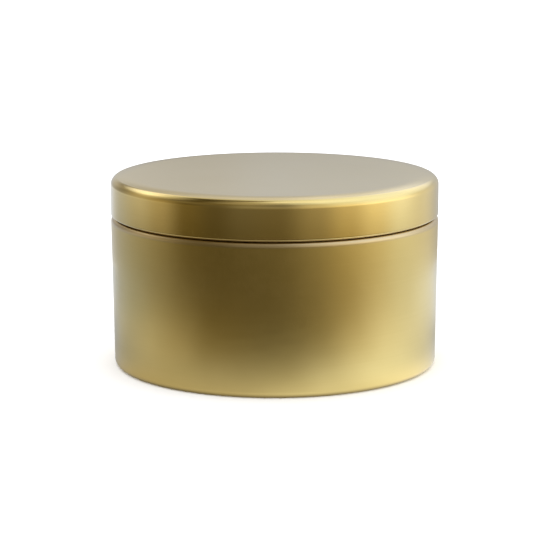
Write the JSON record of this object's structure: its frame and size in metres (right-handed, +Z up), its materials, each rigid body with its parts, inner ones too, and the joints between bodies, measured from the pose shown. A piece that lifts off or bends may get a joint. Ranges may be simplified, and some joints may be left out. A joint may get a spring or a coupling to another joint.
{
  "type": "candle tin",
  "caption": "Round two-piece gold-lacquered tin with a flat slip-on lid, holding a poured wax candle with cotton wicks.",
  "frame": {"origin": "middle of the base, on the surface the tin stands on", "axes": "+Z up along the tin's axis, the way the lid lifts off; one wick lies towards +Y"},
  "size_m": [0.105, 0.105, 0.0613],
  "materials": {
    "body_lacquer": "satin",
    "lid_lacquer": "satin",
    "wax": "satin",
    "wick_cotton": "matte",
    "tab_steel": "satin",
    "sticker": "matte"
  },
  "bodies": {
    "tin": {"tin_body": "body_lacquer", "wax_fill": "wax", "wick_1": "wick_cotton", "wick_2": "wick_cotton", "wick_3": "wick_cotton", "wick_tab_1": "tab_steel", "wick_tab_2": "tab_steel", "wick_tab_3": "tab_steel", "wick_sticker_1": "sticker", "wick_sticker_2": "sticker", "wick_sticker_3": "sticker"},
    "lid": {"lid": "lid_lacquer"}
  },
  "joints": [
    {"name": "lid_lift", "type": "slide", "parent": "tin", "child": "lid", "axis": [0, 0, 1], "range_m": [0, 0.06]}
  ]
}
